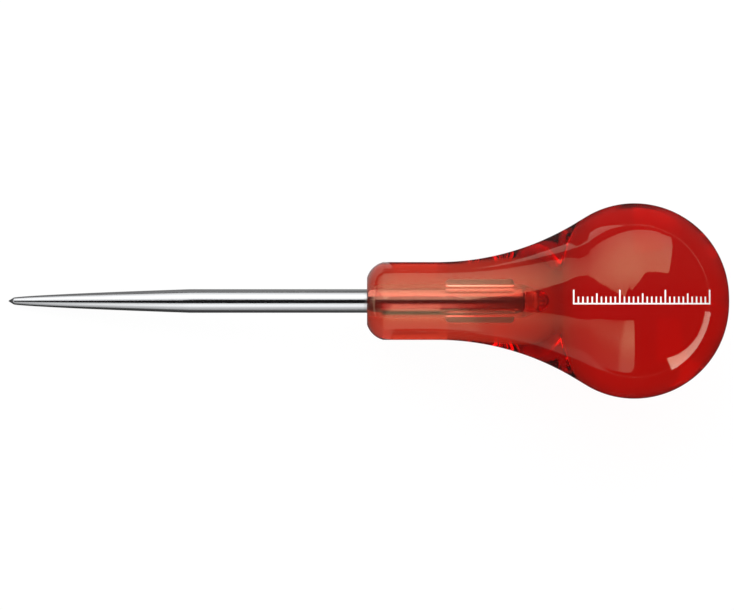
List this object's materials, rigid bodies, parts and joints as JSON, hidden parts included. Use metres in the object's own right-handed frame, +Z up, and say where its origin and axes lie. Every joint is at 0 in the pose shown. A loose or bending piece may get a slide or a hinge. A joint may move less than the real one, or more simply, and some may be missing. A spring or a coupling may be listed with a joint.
{
  "type": "scratch awl",
  "caption": "Scratch awl with a long tapered steel point and a pear-shaped clear red plastic handle, lying on its ball.",
  "frame": {"origin": "on the surface the awl lies on, under the middle of its bounding box", "axes": "+X runs from the point to the butt, +Z is up; the tang's wings point along +Y and -Y"},
  "size_m": [0.1584, 0.0434, 0.0433],
  "materials": {
    "blade_steel": "polished bright along the blade, with a fine lengthwise grain",
    "handle_plastic": "clear red moulded plastic, polished, paler where it is thin",
    "printed_white": "thin white ink, printed on the handle"
  },
  "bodies": {
    "root": {"blade": "blade_steel", "handle": "handle_plastic"}
  },
  "joints": []
}
